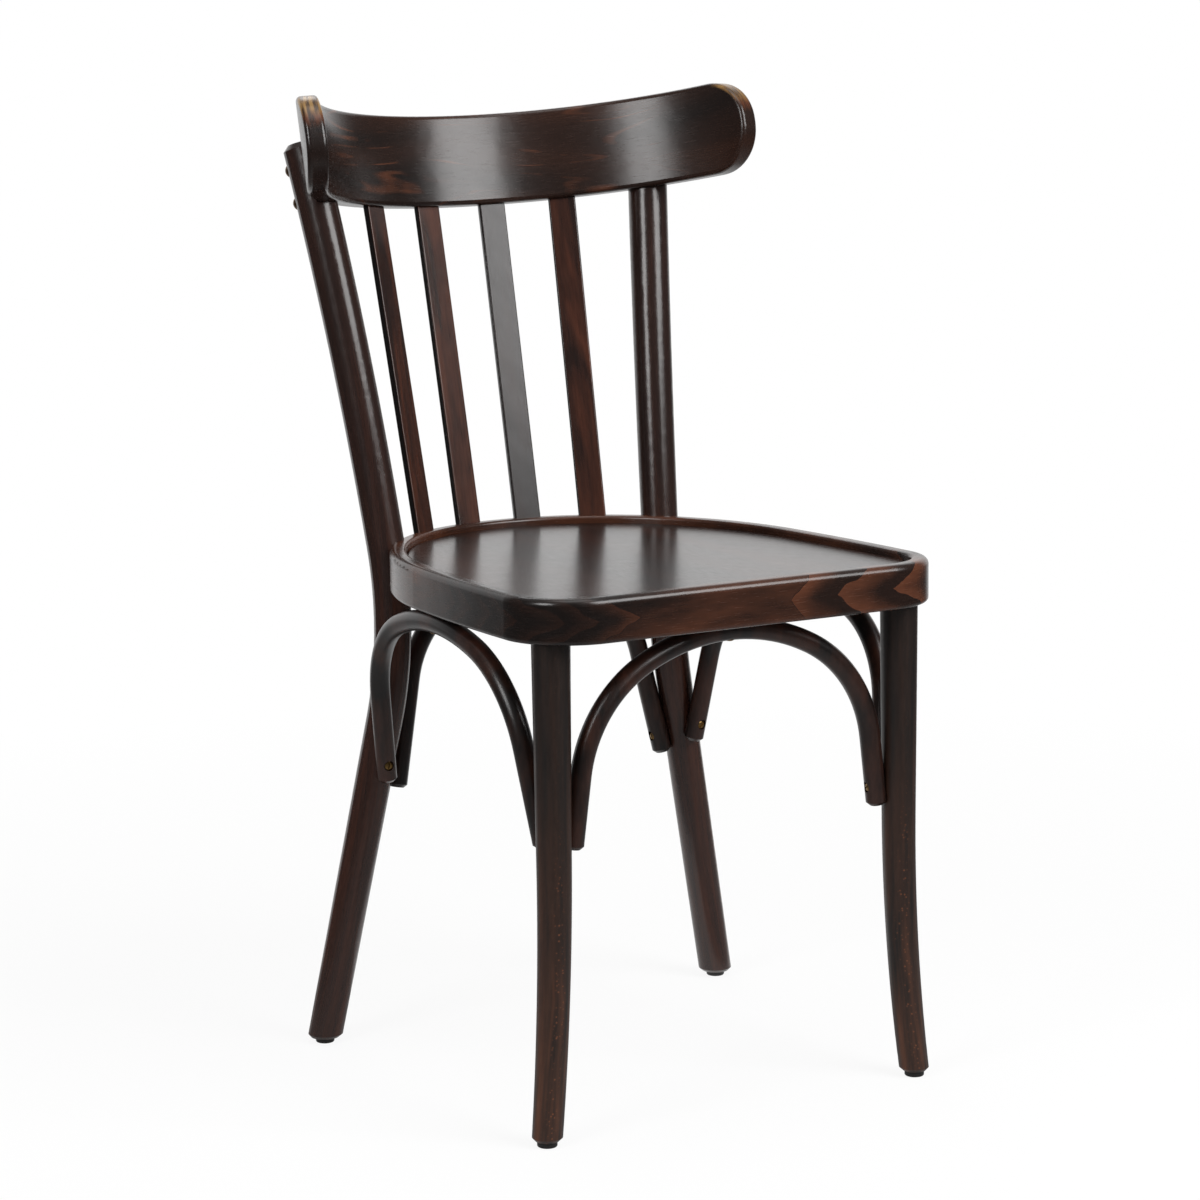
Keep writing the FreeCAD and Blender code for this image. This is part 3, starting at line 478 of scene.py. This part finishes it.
# Growth lines: thin contours of a long soft noise, bright only in patches, and weak near the
# ends.
board_map = add(tree, "ShaderNodeMapping",
                {"Scale": (1.0 / board_streak_length, 1.0 / board_streak_width,
                           1.0 / board_streak_depth)}, {"Vector": grain.outputs[0]})
board = add(tree, "ShaderNodeTexNoise", {"Scale": 1.0, "Detail": 2.0, "Roughness": 0.45,
                                         "Distortion": 0.3}, {"Vector": board_map.outputs[0]})
years = add(tree, "ShaderNodeMath", {"operation": "MULTIPLY", 1: growth_lines},
            {0: board.outputs[0]})
tooth = add(tree, "ShaderNodeMath", {"operation": "FRACT"}, {0: years.outputs[0]})
thin = add(tree, "ShaderNodeMapRange",
           {"From Min": 0.04, "From Max": 0.32, "To Min": 1.0, "To Max": 0.0},
           {"Value": tooth.outputs[0]})
onset = add(tree, "ShaderNodeMapRange", {"From Min": 0.0, "From Max": 0.10},
            {"Value": tooth.outputs[0]})
drawn_line = add(tree, "ShaderNodeMath", {"operation": "MULTIPLY"},
                 {0: thin.outputs[0], 1: onset.outputs[0]})
vivid = add(tree, "ShaderNodeTexNoise", {"Scale": 1.0 / bright_patch_size, "Detail": 2.0},
            {"Vector": grain.outputs[0]})
vivid_mask = add(tree, "ShaderNodeMapRange",
                 {"From Min": 0.47, "From Max": 0.66, "To Min": 0.03, "To Max": 0.70},
                 {"Value": vivid.outputs[0]})
lines_all = add(tree, "ShaderNodeMath", {"operation": "MULTIPLY"},
                {0: drawn_line.outputs[0], 1: vivid_mask.outputs[0]})
out_from_middle = add(tree, "ShaderNodeMath", {"operation": "ABSOLUTE"}, {0: length.outputs[0]})
towards_end = add(tree, "ShaderNodeMapRange",
                  {"From Min": 0.17, "From Max": 0.24, "To Min": 1.0, "To Max": 0.15},
                  {"Value": out_from_middle.outputs[0]})
lines = add(tree, "ShaderNodeMath", {"operation": "MULTIPLY"},
            {0: lines_all.outputs[0], 1: towards_end.outputs[0]})
soft = add(tree, "ShaderNodeMapRange",
           {"From Min": 0.35, "From Max": 0.7, "To Min": 0.0, "To Max": 0.16},
           {"Value": board.outputs[0]})
face_figure = add(tree, "ShaderNodeMath", {"operation": "MAXIMUM"},
                  {0: lines.outputs[0], 1: soft.outputs[0]})

# Painted glint: the edge face of the rounded ends, from their middle up, golden at the top.
past_centre = add(tree, "ShaderNodeMath", {"operation": "SUBTRACT", 1: crest_end_centre},
                  {0: out_from_middle.outputs[0]})
into_end = add(tree, "ShaderNodeMath", {"operation": "MAXIMUM", 1: 0.0},
               {0: past_centre.outputs[0]})
end_spot = add(tree, "ShaderNodeCombineXYZ", {},
               {"X": into_end.outputs[0], "Y": parts.outputs["Z"]})
end_radius = add(tree, "ShaderNodeVectorMath", {"operation": "LENGTH"}, {0: end_spot.outputs[0]})
rim = add(tree, "ShaderNodeMapRange",
          {"From Min": crest_end_radius - glint_depth_none,
           "From Max": crest_end_radius - glint_depth_full},
          {"Value": end_radius.outputs["Value"]})
upper_rim = add(tree, "ShaderNodeMapRange",
                {"interpolation_type": "SMOOTHSTEP", "From Min": 0.006, "From Max": 0.022},
                {"Value": parts.outputs["Z"]})
rounded_end = add(tree, "ShaderNodeMapRange", {"From Min": 0.004, "From Max": 0.016},
                  {"Value": into_end.outputs[0]})
rim_part = add(tree, "ShaderNodeMath", {"operation": "MULTIPLY"},
               {0: upper_rim.outputs[0], 1: rounded_end.outputs[0]})
end_grain_map = add(tree, "ShaderNodeMapping",
                    {"Scale": (1.0 / end_streak_size, 1.0 / end_streak_size,
                               1.0 / end_streak_depth)}, {"Vector": grain.outputs[0]})
end_grain = add(tree, "ShaderNodeTexNoise", {"Scale": 1.0, "Detail": 2.0},
                {"Vector": end_grain_map.outputs[0]})
end_tone = add(tree, "ShaderNodeMapRange",
               {"From Min": 0.40, "From Max": 0.6, "To Min": 0.10, "To Max": 0.75},
               {"Value": end_grain.outputs[0]})
rim_tone = add(tree, "ShaderNodeMath", {"operation": "MULTIPLY"},
               {0: rim.outputs[0], 1: end_tone.outputs[0]})
painted_end_glint = add(tree, "ShaderNodeMath", {"operation": "MULTIPLY"},
               {0: rim_tone.outputs[0], 1: rim_part.outputs[0]})
figure = add(tree, "ShaderNodeMath", {"operation": "MAXIMUM"},
             {0: face_figure.outputs[0], 1: painted_end_glint.outputs[0]})
lacquer, colour = lacquered_beech(tree, grain.outputs[0], figure.outputs[0],
                                  "#150f0d", "#704029", 0.25)
# The painted glint turns golden towards the top of each rounded end, where light catches it.
glint_top = add(tree, "ShaderNodeMapRange",
              {"interpolation_type": "SMOOTHSTEP", "From Min": 0.017, "From Max": 0.029,
               "To Min": 0.0, "To Max": 1.25}, {"Value": parts.outputs["Z"]})
painted_glint_share = add(tree, "ShaderNodeMath", {"operation": "MULTIPLY", "use_clamp": True},
                  {0: glint_top.outputs[0], 1: painted_end_glint.outputs[0]})
glint_gold = add(tree, "ShaderNodeMix", {"data_type": "RGBA", mix_colour_1: to_linear("#8f7040")},
             {mix_share: painted_glint_share.outputs[0], mix_colour_0: colour})
tree.links.new(glint_gold.outputs[mixed_colour], lacquer.inputs["Base Color"])
dress(["crest_rail"], crest_wood)


# Arches: round beech rod, steamed and bent, nearly black, flattened under the ring, coped
# to the legs and screwed to both.
arch_streak_length = 0.0833
arch_streak_width = 0.025
arch_wood, tree = new_material("stained_bent_beech_rod")
place = add(tree, "ShaderNodeTexCoord")
parts = add(tree, "ShaderNodeSeparateXYZ", {}, {0: place.outputs["Object"]})
grain = add(tree, "ShaderNodeCombineXYZ", {}, {"X": parts.outputs["Z"], "Y": parts.outputs["X"],
                                               "Z": parts.outputs["Y"]})
streak_map = add(tree, "ShaderNodeMapping",
                 {"Scale": (1.0 / arch_streak_length, 1.0 / arch_streak_width,
                            1.0 / arch_streak_width)}, {"Vector": grain.outputs[0]})
streak = add(tree, "ShaderNodeTexNoise", {"Scale": 1.0, "Detail": 3.0, "Roughness": 0.6},
             {"Vector": streak_map.outputs[0]})
figure = add(tree, "ShaderNodeMapRange",
             {"From Min": 0.4, "From Max": 0.72, "To Min": 0.0, "To Max": 0.8},
             {"Value": streak.outputs[0]})
lacquered_beech(tree, grain.outputs[0], figure.outputs[0], "#130e0d", "#40241a", 0.30)
dress(["front_arch", "back_arch", "side_arch_left", "side_arch_right"], arch_wood)


# Arch screws: raised countersunk wood screws with a slot, through the ends of the arches into
# the legs and through their crowns into the ring. They are of brass, tarnished unevenly, so
# only specks of the heads shine.
screw_head_radius = 0.00425
screw_head_height = 0.003
screw_shank_radius = 0.002
screw_length = 0.034
screw_tip_length = 0.004
screw_tip_ratio = 0.1
screw_dome = 0.0016
dome_steps = 4
dome_step_angle = math.radians(18.0)
cap_thickness = 0.0002
slot_width = 0.0013
slot_depth = 0.0013
slot_turn = math.radians(37.0)
bpy.ops.object.select_all(action="DESELECT")
bpy.ops.mesh.primitive_cylinder_add(vertices=32, radius=screw_head_radius, depth=cap_thickness,
                                    location=(0, 0, -0.5 * cap_thickness))
screw = bpy.context.object
bpy.ops.object.transform_apply(location=True)
bpy.ops.object.mode_set(mode="EDIT")
bpy.ops.mesh.select_mode(type="FACE")


def pick_cap(mesh_object, upward):
    """Selects only the cap at the top or the bottom of a screw that is being modelled."""
    bpy.ops.mesh.select_all(action="DESELECT")
    bpy.ops.object.mode_set(mode="OBJECT")
    order = sorted(mesh_object.data.polygons, key=lambda polygon: polygon.center.z)
    cap = order[-1] if upward else order[0]
    cap.select = True
    bpy.ops.object.mode_set(mode="EDIT")


pick_cap(screw, True)
for step in range(1, dome_steps + 1):
    turn = dome_step_angle * step
    last_turn = dome_step_angle * (step - 1)
    climb = screw_dome * (math.sin(turn) - math.sin(last_turn))
    bpy.ops.mesh.extrude_region_move(TRANSFORM_OT_translate={"value": (0, 0, climb)})
    ratio = math.cos(turn) / math.cos(last_turn)
    bpy.ops.transform.resize(value=(ratio, ratio, 1.0))
pick_cap(screw, False)
shank_steps = ((screw_head_height, screw_shank_radius / screw_head_radius),
               (screw_length - screw_head_height - screw_tip_length, 1.0),
               (screw_tip_length, screw_tip_ratio))
for drop, ratio in shank_steps:
    bpy.ops.mesh.extrude_region_move(TRANSFORM_OT_translate={"value": (0, 0, -drop)})
    bpy.ops.transform.resize(value=(ratio, ratio, 1.0))
bpy.ops.mesh.select_all(action="SELECT")
bpy.ops.mesh.normals_make_consistent(inside=False)
bpy.ops.object.mode_set(mode="OBJECT")
bpy.ops.object.select_all(action="DESELECT")
bpy.ops.mesh.primitive_cube_add(size=1.0, location=(0, 0, screw_dome))
cutter = bpy.context.object
cutter.scale = (4.0 * screw_head_radius, slot_width, 2.0 * slot_depth)
bpy.ops.object.transform_apply(location=True, scale=True)
bpy.ops.object.select_all(action="DESELECT")
screw.select_set(True)
bpy.context.view_layer.objects.active = screw
slot_cut = screw.modifiers.new("slot", "BOOLEAN")
slot_cut.operation = "DIFFERENCE"
slot_cut.object = cutter
bpy.ops.object.modifier_apply(modifier=slot_cut.name)
bpy.data.objects.remove(cutter)
bpy.ops.object.shade_smooth_by_angle(angle=math.radians(35.0))


def tarnished_metal(name, speck_size, dark, bright, least_rough, most_rough):
    """Metal tarnished in specks: dark ones, and brighter ones that are a little rougher.

    The specks are drawn about a millimetre wide, coarser than real ones, so that they show."""
    metal, tree = new_material(name)
    place = add(tree, "ShaderNodeTexCoord")
    tarnish = add(tree, "ShaderNodeTexNoise", {"Scale": 1.0 / speck_size, "Detail": 2.0},
                  {"Vector": place.outputs["Object"]})
    tone = add(tree, "ShaderNodeMix",
               {"data_type": "RGBA", mix_colour_0: to_linear(dark),
                mix_colour_1: to_linear(bright)}, {mix_share: tarnish.outputs[0]})
    gloss = add(tree, "ShaderNodeMapRange", {"To Min": least_rough, "To Max": most_rough},
                {"Value": tarnish.outputs[0]})
    shader = add(tree, "ShaderNodeBsdfPrincipled", {"Metallic": 1.0},
                 {"Base Color": tone.outputs[mixed_colour], "Roughness": gloss.outputs[0]})
    add(tree, "ShaderNodeOutputMaterial", {}, {"Surface": shader.outputs[0]})
    return metal


brass = tarnished_metal("tarnished_brass", 0.00111, "#2c2014", "#b08d57", 0.25, 0.45)
screw.data.materials.append(brass)


def screw_places(node_name):
    """Crown point and tip point of each screw solid in a node."""
    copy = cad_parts[node_name].copy()
    copy.data = copy.data.copy()
    bpy.context.scene.collection.objects.link(copy)
    bpy.ops.object.select_all(action="DESELECT")
    copy.select_set(True)
    bpy.context.view_layer.objects.active = copy
    bpy.ops.object.mode_set(mode="EDIT")
    bpy.ops.mesh.select_all(action="SELECT")
    bpy.ops.mesh.remove_doubles(threshold=0.000001)
    bpy.ops.mesh.separate(type="LOOSE")
    bpy.ops.object.mode_set(mode="OBJECT")
    places = []
    for solid in list(bpy.context.selected_objects):
        points = [vertex.co.copy() for vertex in solid.data.vertices]
        middle = sum(points, Vector()) / len(points)
        tip = max(points, key=lambda spot: (spot - middle).length)
        crown = max(points, key=lambda spot: (spot - tip).length)
        places.append((crown, tip))
        bpy.data.objects.remove(solid)
    return places


for node_name in ("arch_end_screws", "arch_crown_screws"):
    placed = []
    for number, (crown, tip) in enumerate(screw_places(node_name)):
        outward = (crown - tip).normalized()
        piece = screw.copy()
        piece.data = screw.data.copy()
        bpy.context.scene.collection.objects.link(piece)
        turned = outward.to_track_quat("Z", "Y").to_matrix().to_4x4()
        driven = Matrix.Rotation(slot_turn * number, 4, "Z")
        piece.matrix_world = Matrix.Translation(crown - outward * screw_dome) @ turned @ driven
        placed.append(piece)
    bpy.ops.object.select_all(action="DESELECT")
    for piece in placed:
        piece.select_set(True)
    bpy.context.view_layer.objects.active = placed[0]
    bpy.ops.object.transform_apply(location=True, rotation=True, scale=True)
    bpy.ops.object.join()
    group = bpy.context.object
    group.name = "slotted_" + node_name
    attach(group, "root")
    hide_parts(node_name)
bpy.data.objects.remove(screw)


# Bolts: round-headed bolts through the posts, and hexagon bolts on washers inside the ring,
# all of steel browned so they don't shine out.
bronzed = tarnished_metal("bronzed_steel", 0.00143, "#3a2c20", "#86684a", 0.28, 0.48)
dress(["crest_bolts", "post_bolts", "post_bolt_washers"], bronzed)


# Glides: black moulded plastic discs nailed under the feet, matt from a fine grit in the
# mould. The grit is drawn coarser than the real one, so that it shows.
grit_size = 0.000667
grit_depth = 0.0001
plastic, tree = new_material("moulded_black_plastic")
place = add(tree, "ShaderNodeTexCoord")
grit = add(tree, "ShaderNodeTexNoise", {"Scale": 1.0 / grit_size, "Detail": 2.0},
           {"Vector": place.outputs["Object"]})
relief = add(tree, "ShaderNodeBump", {"Strength": 0.3, "Distance": grit_depth},
             {"Height": grit.outputs[0]})
scuff = add(tree, "ShaderNodeMapRange", {"To Min": 0.40, "To Max": 0.60},
            {"Value": grit.outputs[0]})
shader = add(tree, "ShaderNodeBsdfPrincipled", {"Base Color": to_linear("#141312")},
             {"Normal": relief.outputs[0], "Roughness": scuff.outputs[0]})
add(tree, "ShaderNodeOutputMaterial", {}, {"Surface": shader.outputs[0]})
dress(["front_glide_left", "front_glide_right", "back_glide_left", "back_glide_right"], plastic)


# Floor: white paper that runs on without a horizon. Seen directly it is white with a faint
# shadow. In the lacquer it is grey near the chair, dark farther in front and pale far behind.
floor_size = 30.0
backdrop_direction = (0.375, 0.927, 0.0)
bpy.ops.object.select_all(action="DESELECT")
bpy.ops.mesh.primitive_plane_add(size=floor_size, location=(0, 0, 0))
floor = bpy.context.object
floor.name = "studio_floor"
paper, tree = new_material("white_paper")
place = add(tree, "ShaderNodeTexCoord")
reach = add(tree, "ShaderNodeVectorMath", {"operation": "LENGTH"}, {0: place.outputs["Object"]})
shadow_share = add(tree, "ShaderNodeMapRange",
                   {"From Min": 0.5, "From Max": 1.6, "To Min": 0.10, "To Max": 0.0},
                   {"Value": reach.outputs["Value"]})
lit = add(tree, "ShaderNodeBsdfDiffuse", {"Color": (0.9, 0.9, 0.9, 1.0)})
glow = add(tree, "ShaderNodeEmission", {"Strength": 1.0})
seen = add(tree, "ShaderNodeMixShader", {},
           {0: shadow_share.outputs[0], 1: glow.outputs[0], 2: lit.outputs[0]})
outward = add(tree, "ShaderNodeVectorMath", {"operation": "NORMALIZE"},
              {0: place.outputs["Object"]})
behind = add(tree, "ShaderNodeVectorMath", {"operation": "DOT_PRODUCT", 1: backdrop_direction},
             {0: outward.outputs[0]})
far_level = add(tree, "ShaderNodeMapRange",
                {"interpolation_type": "SMOOTHSTEP", "From Min": 0.58, "From Max": 0.78,
                 "To Min": 0.08, "To Max": 0.95}, {"Value": behind.outputs["Value"]})
near_level = add(tree, "ShaderNodeMapRange",
                 {"From Min": 0.5, "From Max": 1.9, "To Min": 0.40, "To Max": 0.08},
                 {"Value": reach.outputs["Value"]})
level = add(tree, "ShaderNodeMath", {"operation": "MAXIMUM"},
            {0: far_level.outputs[0], 1: near_level.outputs[0]})
mirrored = add(tree, "ShaderNodeEmission", {}, {"Strength": level.outputs[0]})
bounce = add(tree, "ShaderNodeBsdfDiffuse", {"Color": (0.6, 0.6, 0.6, 1.0)})
path = add(tree, "ShaderNodeLightPath")
direct = add(tree, "ShaderNodeMixShader", {},
             {0: path.outputs["Is Camera Ray"], 1: bounce.outputs[0], 2: seen.outputs[0]})
whole = add(tree, "ShaderNodeMixShader", {},
            {0: path.outputs["Is Glossy Ray"], 1: direct.outputs[0], 2: mirrored.outputs[0]})
add(tree, "ShaderNodeOutputMaterial", {}, {"Surface": whole.outputs[0]})
floor.data.materials.append(paper)


# Room: even soft light. The lacquer mirrors a white backdrop behind the chair and a grey
# ceiling, and the camera sees plain white.
world = bpy.data.worlds.new("studio")
bpy.context.scene.world = world
world.use_nodes = True
tree = world.node_tree
tree.nodes.clear()
path = add(tree, "ShaderNodeLightPath")
place = add(tree, "ShaderNodeTexCoord")
towards = add(tree, "ShaderNodeVectorMath", {"operation": "DOT_PRODUCT", 1: backdrop_direction},
              {0: place.outputs["Generated"]})
backdrop = add(tree, "ShaderNodeMapRange",
               {"interpolation_type": "SMOOTHSTEP", "From Min": 0.50, "From Max": 0.78,
                "To Min": 0.12, "To Max": 1.1}, {"Value": towards.outputs["Value"]})
heights = add(tree, "ShaderNodeSeparateXYZ", {}, {0: place.outputs["Generated"]})
ceiling = add(tree, "ShaderNodeMapRange",
              {"interpolation_type": "SMOOTHSTEP", "From Min": 0.55, "From Max": 0.9,
               "To Min": 0.0, "To Max": 0.45}, {"Value": heights.outputs["Z"]})
lacquer_light = add(tree, "ShaderNodeMath", {"operation": "MAXIMUM"},
                    {0: backdrop.outputs[0], 1: ceiling.outputs[0]})
room = add(tree, "ShaderNodeBackground", {"Color": (1, 1, 1, 1), "Strength": 0.3})
mirrored = add(tree, "ShaderNodeBackground", {"Color": (1, 1, 1, 1)},
               {"Strength": lacquer_light.outputs[0]})
white = add(tree, "ShaderNodeBackground", {"Color": (1, 1, 1, 1), "Strength": 1.0})
lacquer_sees = add(tree, "ShaderNodeMixShader", {},
                   {0: path.outputs["Is Glossy Ray"], 1: room.outputs[0], 2: mirrored.outputs[0]})
mixed = add(tree, "ShaderNodeMixShader", {},
            {0: path.outputs["Is Camera Ray"], 1: lacquer_sees.outputs[0], 2: white.outputs[0]})
add(tree, "ShaderNodeOutputWorld", {}, {"Surface": mixed.outputs[0]})


# Lamps: two large softboxes in front, which draw the long lights on the posts and the crest,
# and two weak ones, overhead and high behind. Angles in degrees, power in watts.
def softbox(name, azimuth, elevation, distance, width, height, power):
    """Area lamp that faces the middle of the chair's back."""
    aim = (0.0, 0.1, 0.65)
    turn = math.radians(azimuth)
    tilt = math.radians(elevation)
    light = bpy.data.lights.new(name, "AREA")
    light.shape = "RECTANGLE"
    light.size = width
    light.size_y = height
    light.energy = power
    lamp = bpy.data.objects.new(name, light)
    bpy.context.scene.collection.objects.link(lamp)
    lamp.location = (aim[0] + distance * math.sin(turn) * math.cos(tilt),
                     aim[1] - distance * math.cos(turn) * math.cos(tilt),
                     aim[2] + distance * math.sin(tilt))
    lamp.rotation_euler = (math.pi / 2.0 - tilt, 0.0, turn)


softbox("left_softbox", azimuth=-67, elevation=24, distance=3.2, width=1.1, height=1.3, power=40)
softbox("right_softbox", azimuth=26, elevation=30, distance=3.2, width=1.8, height=1.8, power=84)
softbox("top_softbox", azimuth=0, elevation=80, distance=3.0, width=2.0, height=2.0, power=20)
softbox("rear_softbox", azimuth=165, elevation=42, distance=3.2, width=1.6, height=1.2, power=11)


# Camera: the photograph's view, through a long lens held a little higher than the crest, from
# 28 degrees to the sitter's right of the front.
camera_spot = (-1.5104, -2.57988, 0.9087)
camera = bpy.data.objects.new("camera", bpy.data.cameras.new("camera"))
bpy.context.scene.collection.objects.link(camera)
camera.data.sensor_width = 36.0
camera.data.lens = 101.99
camera.data.shift_x = 0.1355
camera.data.shift_y = -0.0048
camera.data.clip_end = 100.0
azimuth = math.radians(-27.712)
elevation = math.radians(9.3715)
roll = math.radians(-1.2048)
back = Vector((math.sin(azimuth) * math.cos(elevation), -math.cos(azimuth) * math.cos(elevation),
               math.sin(elevation)))
right = (-back).cross(Vector((0, 0, 1))).normalized()
top = right.cross(-back)
side_axis = math.cos(roll) * right + math.sin(roll) * top
top_axis = -math.sin(roll) * right + math.cos(roll) * top
view = Matrix((side_axis, top_axis, back)).transposed().to_4x4()
view.translation = Vector(camera_spot)
camera.matrix_world = view
bpy.context.scene.camera = camera
bpy.context.scene.view_settings.view_transform = "Standard"
